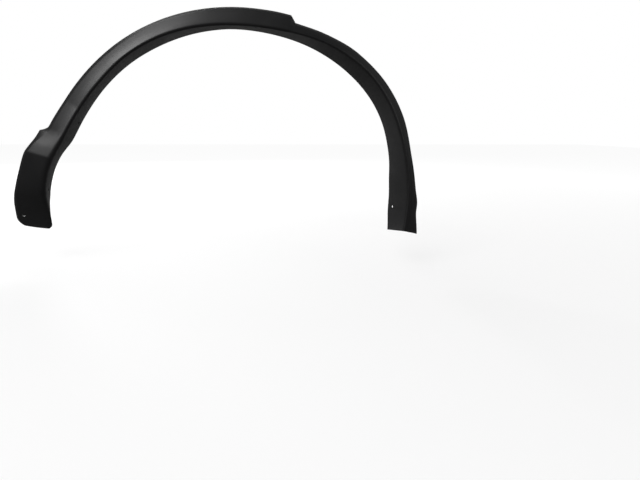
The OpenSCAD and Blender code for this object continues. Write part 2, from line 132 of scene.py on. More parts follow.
def along(points, x):
    """Value of a guide line at an angle, on a smooth curve through its points."""
    last = len(points) - 1
    x = min(max(x, points[0][0]), points[last][0])
    i = max(k for k in range(last) if points[k][0] <= x)
    step = points[i + 1][0] - points[i][0]
    u = (x - points[i][0]) / step
    v = 1 - u

    def slope(k):
        a = points[max(k - 1, 0)]
        b = points[min(k + 1, last)]
        return (b[1] - a[1]) / (b[0] - a[0])

    start = points[i][1] * (1 + 2 * u) * v * v
    end = points[i + 1][1] * u * u * (3 - 2 * u)
    return start + end + step * (slope(i) * u * v * v - slope(i + 1) * u * u * v)


def ramp(x, start, end):
    return min(max((x - start) / (end - start), 0), 1)


def mix(a, b, u):
    return a + (b - a) * u


def ease(u):
    return u * u * (3 - 2 * u)


def stepped_r(a, foot_share):
    leg = along(LEG_EDGE, a) - STEP_H * ease(ramp(a, STEP_AT - STEP_LEAD, STEP_AT))
    step = ramp(a, STEP_AT - STEP_RUN / 2, STEP_AT + STEP_RUN / 2)
    band = mix(leg, along(CROWN_EDGE, a), step)
    return ARCH_R + mix(band, along(FOOT_EDGE, a) + NOTCH_H, foot_share)


def edge_r(a):
    return stepped_r(a, ramp(a, NOTCH_FROM, NOTCH_FROM + NOTCH_RUN) ** NOTCH_BEND)


def bevel_r(a):
    return stepped_r(a, ease(ramp(a, NOTCH_FROM, NOTCH_FROM + NOTCH_FADE))) - BEVEL_W


def foot_depth(a):
    return -RIDGE_OUT * along(RIDGE_SHARE, a) + (RIDGE_OUT + HEEL_BACK) * along(HEEL_SHARE, a)


def edge_y(a):
    return (foot_depth(a - RIDGE_SOFT) + 2 * foot_depth(a) + foot_depth(a + RIDGE_SOFT)) / 4


def bevel_y(a):
    return edge_y(a) - mix(SIDE_RISE, CROWN_RISE, along(CROWN_SHARE, a)) * along(FOLD_SHARE, a)


def corner_r(a):
    return ARCH_R - FOLD_W + along(FOLD_WAY, a)


def corner_y(a):
    return edge_y(a) - FOLD_OUT * along(FOLD_SHARE, a)


def lip_r(a):
    return ARCH_R - BAND_W + OPENING_SET * math.cos(math.radians(a)) + along(LEG_LIP, a) + along(FOOT_LIP, a)


def lip_y(a):
    return LIP_BACK * along(LIP_SHARE, a) + HEEL_BACK * along(HEEL_SHARE, a)


ORIGIN_R = edge_r(90) - TOWER_INSET


def leg_turn(a, y):
    """Turn that rakes the leg's lower edge across its depth."""
    return -LEG_RAKE * ramp(a, LEG_RAKE_FROM, LEG_END) * y / (FOLD_OUT + LIP_BACK)


def place(a, r, y):
    foot_turn = HEEL_RAKE * ramp(a, RAKE_FROM, FOOT_END) * (ARCH_R - r) / RAKE_WIDTH
    t = math.radians(a + foot_turn + leg_turn(a, y))
    return Vector((r * math.cos(t), y, r * math.sin(t) - ORIGIN_R)) * MM


def wall_back(points):
    """The outline of the wall's far side, as far from the skin as the wall is thick."""
    moved = []
    for i, p in enumerate(points):
        before = (p - points[i - 1]).normalized() if i else (points[1] - p).normalized()
        after = (points[i + 1] - p).normalized() if i < len(points) - 1 else before
        n1 = Vector((before.y, -before.x))
        n2 = Vector((after.y, -after.x))
        m = (n1 + n2).normalized()
        moved.append(p + m * WALL / max(m.dot(n1), MITRE_LIMIT))
    return moved


def rounded_loop(points, lengths, steps):
    """A closed outline with each corner rounded over its own length."""
    loop = []
    for i, p in enumerate(points):
        before = points[i - 1] - p
        after = points[(i + 1) % len(points)] - p
        start = p + before * min(SIDE_SHARE, lengths[i] / before.length)
        end = p + after * min(SIDE_SHARE, lengths[i] / after.length)
        for k in range(steps[i] + 1):
            u = k / steps[i]
            loop.append(start * (1 - u) ** 2 + p * 2 * u * (1 - u) + end * u * u)
    return loop


def corner_lengths(a):
    """Rounding of edge, bevel, middle, fold, lip and hem, then of the far side from hem to edge."""
    fold = mix(FOLD_ROUND, FOOT_FOLD_ROUND, ramp(a, SOFT_FROM, SOFT_TO))
    front = [EDGE_ROUND, BEVEL_ROUND, FULL_SIDE, fold, BEVEL_ROUND, HEM_ROUND]
    back = [HEM_ROUND, BACK_LIP_ROUND, fold - BACK_FOLD_LESS, FULL_SIDE, BACK_BEVEL_ROUND, EDGE_ROUND]
    return front + back


CORNER_STEPS = [2, 4, 5, 12, 4, 2, 2, 3, 8, 4, 3, 2]


def section(a, inset=0.0):
    """Outline of the wall at an angle, drawn in by the inset where an end is softened."""
    edge = Vector((edge_r(a), edge_y(a)))
    bevel = Vector((bevel_r(a), bevel_y(a)))
    corner = Vector((corner_r(a), corner_y(a)))
    middle = (bevel + corner) / 2 - Vector((0, FACE_CROWN))
    lip = Vector((lip_r(a), lip_y(a)))
    hem = lip + Vector((HEM_W, 0))
    skin = [edge, bevel, middle, corner, lip, hem]
    back = wall_back(skin)
    if inset:
        share = inset / WALL
        skin, back = ([mix(p, q, share) for p, q in zip(skin, back)],
                      [mix(q, p, share) for p, q in zip(skin, back)])
    return rounded_loop(skin + back[::-1], corner_lengths(a), CORNER_STEPS)


def stations():
    """Angles of the sections, close together where the shape changes fast."""
    fine = [(STEP_AT - 2, STEP_AT + 2, 0.1), (NOTCH_FROM, NOTCH_FROM + NOTCH_RUN + 0.5, 0.1),
            (RIDGE_AT - 1.5, RIDGE_AT + 1.5, 0.15), (RAKE_FROM, FOOT_END, 0.25)]
    angles = []
    a = LEG_END + END_STEP
    while a < FOOT_END - END_STEP:
        angles.append(a)
        a += next((s for lo, hi, s in fine if lo <= a < hi), WIDE_STEP)
    return angles + [FOOT_END - END_STEP]


def mesh_of(name, vertices, faces):
    mesh = bpy.data.meshes.new(name)
    mesh.from_pydata(vertices, [], faces)
    mesh.update()
    return mesh


def loft(name, rings):
    n = len(rings[0])
    faces = []
    for k in range(len(rings) - 1):
        for i in range(n):
            j = (i + 1) % n
            faces.append((k * n + i, (k + 1) * n + i, (k + 1) * n + j, k * n + j))
    first = tuple(range(n))
    last = tuple((len(rings) - 1) * n + i for i in range(n))
    faces += [first, last[::-1]]
    return mesh_of(name, [p for ring in rings for p in ring], faces)


def shell_rings():
    rings = [[place(LEG_END, p.x, p.y) for p in section(LEG_END, END_SOFT)]]
    rings += [[place(a, p.x, p.y) for p in section(a)] for a in stations()]
    rings.append([place(FOOT_END, p.x, p.y) for p in section(FOOT_END, END_SOFT)])
    return rings


def linked(name, mesh):
    piece = bpy.data.objects.new(name, mesh)
    bpy.context.collection.objects.link(piece)
    return piece


def outward(mesh):
    work = bmesh.new()
    work.from_mesh(mesh)
    bmesh.ops.recalc_face_normals(work, faces=work.faces)
    work.to_mesh(mesh)
    work.free()


moulding = linked("moulding", loft("moulding", shell_rings()))
outward(moulding.data)


# Moulding: screw holes and slot
# Cores in the tool leave three screw holes in the lip and a slot in the foot's turned-back
# end. Each of them has a thicker pad behind it.
LIP_HOLES = [(-2, 24, 0), (152.6, 18, 0), (176, 6, 3.5)]
LIP_HOLE_R = 3.5
HOLE_REACH = 16
BORE_SIDES = 48
PAD_R = 8
PAD_T = 4
PAD_FROM = 0.8
PAD_SOFT = 0.5
PAD_SIDES = 40
SLOT_AT = 185
SLOT_INSET = 20
SLOT_LEN = 10
SLOT_W = 3.6
SLOT_REACH = 12
SLOT_SIDES = 12
SLOT_RIM_W = 2.5
SLOT_RIM_T = 7.8


def frame_of(origin, x_axis, y_axis, z_axis):
    turn = Matrix((x_axis, y_axis, z_axis)).transposed().to_4x4()
    return Matrix.Translation(origin) @ turn


def radial(a):
    return Vector((math.cos(math.radians(a)), 0, math.sin(math.radians(a))))


def lip_frame(a, y, lean=0):
    """Z away from the wheel, square to the lip or leaning towards the body."""
    share = ramp(y, corner_y(a), lip_y(a))
    r = mix(corner_r(a), lip_r(a), share)
    slope = math.atan2(lip_r(a) - corner_r(a), lip_y(a) - corner_y(a)) - math.radians(lean)
    out = radial(a) * math.cos(slope) - Vector((0, math.sin(slope), 0))
    tangent = radial(a + 90)
    seat = radial(a) * r + Vector((0, y, -ORIGIN_R))
    return frame_of(seat * MM, tangent, out.cross(tangent), out)


def chord_y(a, r):
    return mix(bevel_y(a), corner_y(a), ramp(r, bevel_r(a), corner_r(a)))


def on_face(a, r):
    return place(a, r, chord_y(a, r))


def slot_frame():
    """Z square to the heel, into the body."""
    r = edge_r(SLOT_AT) - SLOT_INSET
    seat = on_face(SLOT_AT, r)
    across = (on_face(SLOT_AT, r + 1) - seat).normalized()
    down = (on_face(SLOT_AT + 1, r) - on_face(SLOT_AT - 1, r)).normalized()
    out = across.cross(down)
    out = out if out.y > 0 else -out
    return frame_of(seat, across, out.cross(across), out)


def lathe(name, profile, sides):
    """Closed ring or disc from a profile of (radius, height) points."""
    rings = []
    for k in range(sides):
        t = 2 * math.pi * k / sides
        rings.append([Vector((r * math.cos(t), r * math.sin(t), z)) * MM for r, z in profile])
    n = len(profile)
    faces = []
    for k in range(sides):
        m = (k + 1) % sides
        faces += [(k * n + i, m * n + i, m * n + (i + 1) % n, k * n + (i + 1) % n) for i in range(n)]
    mesh = mesh_of(name, [p for ring in rings for p in ring], faces)
    work = bmesh.new()
    work.from_mesh(mesh)
    bmesh.ops.remove_doubles(work, verts=work.verts, dist=0.01 * MM)
    bmesh.ops.recalc_face_normals(work, faces=work.faces)
    work.to_mesh(mesh)
    work.free()
    return mesh


def oblong(length, width):
    """Outline of a slot with round ends. The length has to be more than the width."""
    reach = (length - width) / 2
    points = []
    for way in (1, -1):
        for k in range(SLOT_SIDES + 1):
            t = math.pi * (k / SLOT_SIDES - way / 2)
            points.append((way * reach + width / 2 * math.cos(t), width / 2 * math.sin(t)))
    return points


def circle(radius):
    turns = [2 * math.pi * k / BORE_SIDES for k in range(BORE_SIDES)]
    return [(radius * math.cos(t), radius * math.sin(t)) for t in turns]


def flat(height):
    """A height that is the same at every place."""
    return lambda x, y: height


def box_outline(x0, x1, y0, y1):
    return [(x0, y0), (x1, y0), (x1, y1), (x0, y1)]


def oblong_ring(name, inner, outer, bottom, top, soft):
    """Raised rim round a slot, from the same outline in two sizes."""
    shoulder = soft / PAD_R
    profile = [(0, bottom), (1, bottom), (1, top - soft), (1 - shoulder, top), (shoulder, top),
               (0, top - soft)]
    rings = [[Vector((mix(p[0], q[0], u), mix(p[1], q[1], u), z)) * MM for u, z in profile]
             for p, q in zip(inner, outer)]
    n = len(profile)
    sides = len(rings)
    faces = []
    for k in range(sides):
        m = (k + 1) % sides
        faces += [(k * n + i, m * n + i, m * n + (i + 1) % n, k * n + (i + 1) % n) for i in range(n)]
    mesh = mesh_of(name, [p for ring in rings for p in ring], faces)
    outward(mesh)
    return mesh


def prism(name, outline, bottom, top):
    """Solid between two heights over an outline in X and Y. A height can follow the place."""
    low = [Vector((x, y, bottom(x, y))) * MM for x, y in outline]
    high = [Vector((x, y, top(x, y))) * MM for x, y in outline]
    n = len(outline)
    faces = [tuple(range(n)), tuple(range(2 * n - 1, n - 1, -1))]
    faces += [(i, (i + 1) % n, n + (i + 1) % n, n + i) for i in range(n)]
    mesh = mesh_of(name, low + high, faces)
    outward(mesh)
    return mesh


def cut(piece, cutters):
    """Takes the cutters out of the piece."""
    for cutter in cutters:
        tool = piece.modifiers.new("cut", "BOOLEAN")
        tool.operation = "DIFFERENCE"
        tool.solver = "EXACT"
        tool.object = cutter
    shaped = piece.evaluated_get(bpy.context.evaluated_depsgraph_get())
    mesh = bpy.data.meshes.new_from_object(shaped)
    piece.modifiers.clear()
    piece.data = mesh
    for cutter in cutters:
        bpy.data.objects.remove(cutter)


cutters = []
for angle, depth, lean in LIP_HOLES:
    hole = linked("hole", prism("hole", circle(LIP_HOLE_R), flat(-HOLE_REACH), flat(HOLE_REACH)))
    hole.data.transform(lip_frame(angle, depth, lean))
    cutters.append(hole)
slot_outline = oblong(SLOT_LEN, SLOT_W)
slot_cutter = linked("slot", prism("slot", slot_outline, flat(-SLOT_REACH), flat(SLOT_REACH)))
slot_cutter.data.transform(slot_frame())
cutters.append(slot_cutter)
bpy.context.view_layer.update()
cut(moulding, cutters)

pad_profile = [(LIP_HOLE_R, PAD_FROM), (PAD_R, PAD_FROM), (PAD_R, PAD_T - PAD_SOFT),
               (PAD_R - PAD_SOFT, PAD_T), (LIP_HOLE_R + PAD_SOFT, PAD_T), (LIP_HOLE_R, PAD_T - PAD_SOFT)]
features = []
for angle, depth, lean in LIP_HOLES:
    pad = lathe("pad", pad_profile, PAD_SIDES)
    pad.transform(lip_frame(angle, depth, lean))
    features.append(pad)
rim_outline = oblong(SLOT_LEN + 2 * SLOT_RIM_W, SLOT_W + 2 * SLOT_RIM_W)
rim = oblong_ring("slot_rim", slot_outline, rim_outline, PAD_FROM, SLOT_RIM_T, PAD_SOFT)
rim.transform(slot_frame())
features.append(rim)


# Moulding: clip towers
# Moulded boxes behind the face, open towards the wheel. Five have a keyhole in their
# plate for a plug's neck, and four have a square hole for a grommet's shank.
PLUG_AT = [117.5, 131, 151.5, RIDGE_AT, 176.5]
PLUG_TURN = [35, 35, 90, 90, -90]
GROMMET_AT = [90, 105, 77.5]
LEG_GROMMET_AT = 11.2
RIDGE_INSET = 12
LEG_INSET = 15
SEAT_DROP = 2
SEAT_GAP = 0.2
HEEL_LIFT = 5
HEEL_LEAD = 6
TOWER_WALL = 2
PLATE_T = 1.8
TOWER_ROOT = 0.7
PLUG_FLANGE_D = 15
PLUG_NECK_D = 7
GROMMET_D = 19
SHANK_W = 9
LEG_FLANGE_W = 12
LEG_FLANGE_H = 15
ROUND_PLATE_PAST = (5, 0.5)
LEG_PLATE_PAST = (1, 2)
BOW_SIDES = 12
TOWER_SOFT = 0.35
SHARP_FROM = 35


def seat_y(a):
    return edge_y(a) - SEAT_DROP + (HEEL_LIFT if a > RAKE_FROM - HEEL_LEAD else 0)


def inset_of(a):
    return TOWER_INSET + (RIDGE_INSET if a == RIDGE_AT else 0)


def seat_frame(a, inset):
    """X along the radius, Y along the arch, Z into the body."""
    r = edge_r(a) - inset
    origin = Vector((r * math.cos(math.radians(a)), seat_y(a), r * math.sin(math.radians(a)) - ORIGIN_R)) * MM
    return frame_of(origin, radial(a), radial(a - 90), Vector((0, 1, 0)))


def wall_under(a, inset):
    """Depth of the moulding's wall below a seat, at a place beside that seat."""
    def depth(x, y):
        reach = edge_r(a) - inset + x
        angle = a - math.degrees(math.atan2(y, reach))
        return chord_y(angle, math.hypot(reach, y)) - seat_y(a) + TOWER_ROOT
    return depth


def tower_walls(a, inset, half_x, half_y, wall):
    """Three walls that stand on the curved face and carry the plate."""
    foot = wall_under(a, inset)
    parts = [box_outline(-half_x, half_x, -half_y, wall - half_y),
             box_outline(-half_x, half_x, half_y - wall, half_y),
             box_outline(half_x - wall, half_x, -half_y, half_y)]
    return [prism("tower", part, foot, flat(-PLATE_T / 2)) for part in parts]


def keyhole_plate(half, neck):
    """A square plate with a slot from one side to a round seat for the plug's neck."""
    turns = [math.pi * (k / BOW_SIDES - 0.5) for k in range(BOW_SIDES + 1)]
    bow = [(neck * math.cos(t), neck * math.sin(t)) for t in turns]
    outline = [(-half, neck), (-half, half), (half, half), (half, -half), (-half, -half), (-half, -neck)]
    return prism("plate", outline + bow, flat(-PLATE_T), flat(0))


def square_plate(half_x, half_y, hole):
    """A plate with a square hole, from a ring of eight points below and eight above."""
    corners = [(-1, -1), (1, -1), (1, 1), (-1, 1)]
    points = []
    for z in (-PLATE_T, 0):
        points += [Vector((x * half_x, y * half_y, z)) * MM for x, y in corners]
        points += [Vector((x * hole, y * hole, z)) * MM for x, y in corners]
    faces = []
    for i in range(4):
        j = (i + 1) % 4
        faces += [(i, j, 4 + j, 4 + i), (8 + i, 12 + i, 12 + j, 8 + j), (i, 8 + i, 8 + j, j),
                  (4 + i, 4 + j, 12 + j, 12 + i)]
    mesh = mesh_of("plate", points, faces)
    outward(mesh)
    return mesh


def softened(mesh, width):
    """The mesh with its edges broken, as a mould tool leaves them."""
    work = bmesh.new()
    work.from_mesh(mesh)
    limit = math.radians(SHARP_FROM)
    sharp = [e for e in work.edges if len(e.link_faces) == 2 and e.calc_face_angle(0) > limit]
    bmesh.ops.bevel(work, geom=sharp, offset=width * MM, offset_type="OFFSET", segments=2, profile=0.5,
                    affect="EDGES", clamp_overlap=True)
    work.to_mesh(mesh)
    work.free()
    return mesh


pocket = PLUG_FLANGE_D / 2 + SEAT_GAP
for angle in PLUG_AT:
    half = pocket + TOWER_WALL
    parts = tower_walls(angle, inset_of(angle), half, half, TOWER_WALL)
    parts.append(keyhole_plate(half, PLUG_NECK_D / 2 + SEAT_GAP))
    for part in parts:
        part.transform(seat_frame(angle, inset_of(angle)))
        features.append(softened(part, TOWER_SOFT))
plate_x = SHANK_W / 2 + ROUND_PLATE_PAST[0]
plate_y = GROMMET_D / 2 + ROUND_PLATE_PAST[1]
leg_plate_x = LEG_FLANGE_W / 2 + LEG_PLATE_PAST[0]
leg_plate_y = LEG_FLANGE_H / 2 + LEG_PLATE_PAST[1]
grommet_seats = [(angle, TOWER_INSET, plate_x, plate_y) for angle in GROMMET_AT]
grommet_seats.append((LEG_GROMMET_AT, LEG_INSET, leg_plate_x, leg_plate_y))
for angle, inset, half_x, half_y in grommet_seats:
    parts = tower_walls(angle, inset, half_x, half_y, TOWER_WALL)
    parts.append(square_plate(half_x, half_y, SHANK_W / 2 + SEAT_GAP))
    for part in parts:
        part.transform(seat_frame(angle, inset))
        features.append(softened(part, TOWER_SOFT))


# Moulding: ribs, gussets and tab
# Thin walls in the tool: two low ribs above the foot's slot, three gussets across the
# leg's channel, and a short tab below the leg that locates it in the sill.
RIB_T = 1.6
HEEL_RIBS = [182.6, 183.6]
HEEL_RIB_H = 6
HEEL_RIB_RUN = 18
GUSSETS = [5.9, 7.8, 33.8]
GUSSET_SHARE = 0.6
GUSSET_OFF_BEVEL = 2
TAB_INSET = 16.5
TAB_W = 12
TAB_LEN = 0.5


def upright_frame(point, way):
    """X along a level way, Y into the body, Z square to both."""
    x_axis = Vector((way.x, 0, way.z)).normalized()
    y_axis = Vector((0, 1, 0))
    return frame_of(Vector((point.x, 0, point.z)), x_axis, y_axis, x_axis.cross(y_axis))


for angle in HEEL_RIBS:
    inner = on_face(angle, edge_r(angle) - SLOT_INSET - HEEL_RIB_RUN)
    outer = on_face(angle, bevel_r(angle))
    way = outer - inner
    run = Vector((way.x, 0, way.z)).length / MM
    low = WALL / 2
    outline = [(0, inner.y / MM + low), (run, outer.y / MM + low),
               (run, outer.y / MM + HEEL_RIB_H), (0, inner.y / MM + HEEL_RIB_H)]
    rib = prism("rib", outline, flat(-RIB_T / 2), flat(RIB_T / 2))
    rib.transform(upright_frame(inner, way))
    features.append(softened(rib, TOWER_SOFT))
for angle in GUSSETS:
    corner = Vector((corner_r(angle), corner_y(angle)))
    bevel = Vector((bevel_r(angle), bevel_y(angle)))
    lip = Vector((lip_r(angle), lip_y(angle)))
    across = (bevel - corner).normalized()
    root = Vector((-across.y, across.x)) * WALL / 2
    beside = Vector((WALL / 2, 0))
    fold_end = corner + (lip - corner).normalized() * FOLD_ROUND
    high = mix(corner, lip, GUSSET_SHARE)
    points = [bevel - across * GUSSET_OFF_BEVEL + root, corner + across * FOLD_ROUND + root,
              fold_end + beside, high + beside]
    gusset = prism("gusset", [(p.x, p.y) for p in points], flat(-RIB_T / 2), flat(RIB_T / 2))
    gusset.transform(upright_frame(Vector((0, 0, -ORIGIN_R * MM)), radial(angle)))
    features.append(softened(gusset, TOWER_SOFT))
tab_r = bevel_r(LEG_END) - TAB_INSET
tab_y = chord_y(LEG_END, tab_r)
tab_outline = box_outline(tab_r - TAB_W / 2, tab_r + TAB_W / 2, tab_y + WALL / 2, tab_y + WALL)
tab = prism("tab", tab_outline, flat(-TAB_LEN), flat(WALL))
tab.transform(upright_frame(Vector((0, 0, -ORIGIN_R * MM)), radial(LEG_END + leg_turn(LEG_END, tab_y))))
features.append(softened(tab, TOWER_SOFT))


def joined(piece, meshes):
    """Adds the meshes to the piece's own."""
    work = bmesh.new()
    work.from_mesh(piece.data)
    for mesh in meshes:
        work.from_mesh(mesh)
    work.to_mesh(piece.data)
    work.free()
    for mesh in meshes:
        bpy.data.meshes.remove(mesh)


def smooth(mesh, angle):
    mesh.shade_smooth()
    mesh.set_sharp_from_angle(angle=math.radians(angle))


joined(moulding, features)
smooth(moulding.data, 32)


# Moulding: the plastic
# Black polypropylene with a fine leather-like grain from the tool and a satin sheen.
# The pigment is even, and only the gloss changes a little from place to place.
def new_material(name):
    material = bpy.data.materials.new(name)
    material.use_nodes = True
    nodes = material.node_tree.nodes
    return material, nodes, material.node_tree.links, nodes["Principled BSDF"]


def grained_plastic(colour, rough_low, rough_high, grain_mm, grain_depth_mm):
    material, nodes, links, surface = new_material("grained_black_plastic")
    place_node = nodes.new("ShaderNodeTexCoord")
    patches = nodes.new("ShaderNodeTexNoise")
    patches.inputs["Scale"].default_value = 14
    patches.inputs["Detail"].default_value = 4
    links.new(place_node.outputs["Object"], patches.inputs["Vector"])
    gloss = nodes.new("ShaderNodeMapRange")
    gloss.inputs["From Min"].default_value = 0.3
    gloss.inputs["From Max"].default_value = 0.7
    gloss.inputs["To Min"].default_value = rough_low
    gloss.inputs["To Max"].default_value = rough_high
    links.new(patches.outputs["Fac"], gloss.inputs["Value"])
    links.new(gloss.outputs["Result"], surface.inputs["Roughness"])
    tint = nodes.new("ShaderNodeMix")
    tint.data_type = "RGBA"
    tint.inputs["A"].default_value = (*colour, 1)
    tint.inputs["B"].default_value = (*[c * 1.25 for c in colour], 1)
    links.new(patches.outputs["Fac"], tint.inputs["Factor"])
    links.new(tint.outputs["Result"], surface.inputs["Base Color"])
    cells = nodes.new("ShaderNodeTexVoronoi")
    cells.feature = "SMOOTH_F1"
    cells.inputs["Scale"].default_value = 1 / (grain_mm * MM)
    links.new(place_node.outputs["Object"], cells.inputs["Vector"])
    grain = nodes.new("ShaderNodeBump")
    grain.inputs["Strength"].default_value = 0.2
    grain.inputs["Distance"].default_value = grain_depth_mm * MM
    links.new(cells.outputs["Distance"], grain.inputs["Height"])
    links.new(grain.outputs["Normal"], surface.inputs["Normal"])
    return material


moulding.data.materials.clear()
moulding.data.materials.append(grained_plastic((0.009, 0.009, 0.0094), 0.38, 0.46, 1.1, 0.05))
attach(moulding, "root")
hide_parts("arch_moulding")


# Nylon plugs
# Five split plugs in natural nylon. Each slides into its tower by the neck and pushes
# into a hole in the body panel, where its hollow, barbed body springs out.
PLUG_FLANGE_T = 1.6
PLUG_COLLAR_D = 16
PLUG_COLLAR_T = 1.3
PLUG_LEN = 16
PLUG_BARB_D = 14
PLUG_MOUTH_D = 11
PLUG_BORE_D = 7
PLUG_SLOT_W = 5
PLUG_FLOOR = 1
PLUG_SIDES = 36
PLUG_SOFT = 0.15


def one_plug():
    """Turned from one profile, from the flange's underside up and down again inside, then split."""
    flange = -PLATE_T - SEAT_GAP
    collar = SEAT_GAP
    body = collar + PLUG_COLLAR_T
    mouth = body + PLUG_LEN
    bottom = flange - PLUG_FLANGE_T
    pit = body + PLUG_FLOOR
    flange_r = PLUG_FLANGE_D / 2
    neck_r = PLUG_NECK_D / 2
    collar_r = PLUG_COLLAR_D / 2
    barb_r = PLUG_BARB_D / 2
    mouth_r = PLUG_MOUTH_D / 2
    bore_r = PLUG_BORE_D / 2
    profile = [
        (0, bottom), (flange_r - 0.3, bottom), (flange_r, bottom + 0.3), (flange_r, flange), (neck_r, flange),
        (neck_r, collar), (collar_r, collar), (collar_r, collar + 0.6), (collar_r - 0.5, body),
        (barb_r - 1.5, body), (barb_r - 0.2, body + PLUG_LEN * 0.36), (barb_r, body + PLUG_LEN * 0.42),
        (barb_r, body + PLUG_LEN * 0.5), (mouth_r + 0.4, mouth - 1), (mouth_r - 0.2, mouth - 0.2),
        (mouth_r - 0.8, mouth), (bore_r + 0.4, mouth), (bore_r, mouth - 0.5), (bore_r, pit + 0.8),
        (bore_r - 0.8, pit), (0, pit)]
    plug = linked("plug", lathe("plug", profile, PLUG_SIDES))
    split_outline = box_outline(0, PLUG_BARB_D, -PLUG_SLOT_W / 2, PLUG_SLOT_W / 2)
    split = linked("split", prism("split", split_outline, flat(pit), flat(mouth + 2)))
    bpy.context.view_layer.update()
    cut(plug, [split])
    softened(plug.data, PLUG_SOFT)
    return plug


def seated_copies(name, prototype, frames, material):
    """Geometry Nodes copy the prototype to each seat, then the result becomes one mesh."""
    points = linked(name, mesh_of(name, [f.translation for f in frames], []))
    turns = points.data.attributes.new("turn", "FLOAT_VECTOR", "POINT")
    for i, f in enumerate(frames):
        turns.data[i].vector = f.to_euler()
    tree = bpy.data.node_groups.new(name + "_seats", "GeometryNodeTree")
    tree.interface.new_socket("Seats", in_out="INPUT", socket_type="NodeSocketGeometry")
    shape = tree.interface.new_socket("Shape", in_out="INPUT", socket_type="NodeSocketObject")
    size = tree.interface.new_socket("Size", in_out="INPUT", socket_type="NodeSocketFloat")
    tree.interface.new_socket("Pieces", in_out="OUTPUT", socket_type="NodeSocketGeometry")
    nodes = tree.nodes
    links = tree.links
    start = nodes.new("NodeGroupInput")
    end = nodes.new("NodeGroupOutput")
    source = nodes.new("GeometryNodeObjectInfo")
    turn = nodes.new("GeometryNodeInputNamedAttribute")
    turn.data_type = "FLOAT_VECTOR"
    turn.inputs["Name"].default_value = "turn"
    rotation = nodes.new("FunctionNodeEulerToRotation")
    copies = nodes.new("GeometryNodeInstanceOnPoints")
    real = nodes.new("GeometryNodeRealizeInstances")
    paint = nodes.new("GeometryNodeSetMaterial")
    paint.inputs["Material"].default_value = material
    links.new(start.outputs["Seats"], copies.inputs["Points"])
    links.new(start.outputs["Shape"], source.inputs["Object"])
    links.new(start.outputs["Size"], copies.inputs["Scale"])
    links.new(source.outputs["Geometry"], copies.inputs["Instance"])
    links.new(turn.outputs["Attribute"], rotation.inputs["Euler"])
    links.new(rotation.outputs["Rotation"], copies.inputs["Rotation"])
    links.new(copies.outputs["Instances"], real.inputs["Geometry"])
    links.new(real.outputs["Geometry"], paint.inputs["Geometry"])
    links.new(paint.outputs["Geometry"], end.inputs["Pieces"])
    seats = points.modifiers.new("seats", "NODES")
    seats.node_group = tree
    seats[shape.identifier] = prototype
    seats[size.identifier] = 1.0
    bpy.context.view_layer.update()
    shaped = points.evaluated_get(bpy.context.evaluated_depsgraph_get())
    mesh = bpy.data.meshes.new_from_object(shaped)
    points.modifiers.clear()
    points.data = mesh
    points.data.materials.clear()
    points.data.materials.append(material)
    bpy.data.objects.remove(prototype)
    return points


def nylon():
    material, nodes, links, surface = new_material("natural_nylon")
    place_node = nodes.new("ShaderNodeTexCoord")
    cloud = nodes.new("ShaderNodeTexNoise")
    cloud.inputs["Scale"].default_value = 90
    cloud.inputs["Detail"].default_value = 3
    links.new(place_node.outputs["Object"], cloud.inputs["Vector"])
    tint = nodes.new("ShaderNodeMix")
    tint.data_type = "RGBA"
    tint.inputs["A"].default_value = (0.86, 0.8, 0.56, 1)
    tint.inputs["B"].default_value = (0.93, 0.89, 0.72, 1)
    links.new(cloud.outputs["Fac"], tint.inputs["Factor"])
    links.new(tint.outputs["Result"], surface.inputs["Base Color"])
    surface.inputs["Roughness"].default_value = 0.36
    surface.inputs["Subsurface Weight"].default_value = 0.25
    surface.inputs["Subsurface Scale"].default_value = 0.002
    surface.inputs["Subsurface Radius"].default_value = (1.0, 0.9, 0.6)
    skin = nodes.new("ShaderNodeBump")
    skin.inputs["Strength"].default_value = 0.15
    skin.inputs["Distance"].default_value = 0.05 * MM
    links.new(cloud.outputs["Fac"], skin.inputs["Height"])
    links.new(skin.outputs["Normal"], surface.inputs["Normal"])
    return material


plug_frames = []
for angle, turn in zip(PLUG_AT, PLUG_TURN):
    about_axis = Matrix.Rotation(math.radians(angle - turn), 4, "Z")
    plug_frames.append(seat_frame(angle, inset_of(angle)) @ about_axis)
plugs = seated_copies("nylon_plugs", one_plug(), plug_frames, nylon())
smooth(plugs.data, 35)
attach(plugs, "root")
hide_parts("nylon_plug_1", "nylon_plug_2", "nylon_plug_3", "nylon_plug_4", "nylon_plug_5")


# Screw grommets
# Four black nylon grommets, pushed through their towers' square holes: three with a round
# flange round the crown and one with an oblong flange in the leg. A screw bites in the bore.
SHANK_LEN = 7
LEG_SHANK_LEN = 3.96
SHANK_IN_FLANGE = 0.5
SHANK_SOFT = 0.4
SCREW_R = 2.5
GROMMET_T = 1.8
GROMMET_SIDES = 48
LEG_FLANGE_SOFT = 0.5


def gloss_black():
    material, nodes, links, surface = new_material("gloss_black_nylon")
    place_node = nodes.new("ShaderNodeTexCoord")
    cloud = nodes.new("ShaderNodeTexNoise")
    cloud.inputs["Scale"].default_value = 120
    links.new(place_node.outputs["Object"], cloud.inputs["Vector"])
    tint = nodes.new("ShaderNodeMix")
    tint.data_type = "RGBA"
    tint.inputs["A"].default_value = (0.012, 0.012, 0.013, 1)
    tint.inputs["B"].default_value = (0.022, 0.022, 0.023, 1)
    links.new(cloud.outputs["Fac"], tint.inputs["Factor"])
    links.new(tint.outputs["Result"], surface.inputs["Base Color"])
    surface.inputs["Roughness"].default_value = 0.2
    surface.inputs["Coat Weight"].default_value = 0.4
    surface.inputs["Coat Roughness"].default_value = 0.12
    ripple = nodes.new("ShaderNodeBump")
    ripple.inputs["Strength"].default_value = 0.2
    ripple.inputs["Distance"].default_value = 0.08 * MM
    links.new(cloud.outputs["Fac"], ripple.inputs["Height"])
    links.new(ripple.outputs["Normal"], surface.inputs["Normal"])
    return material


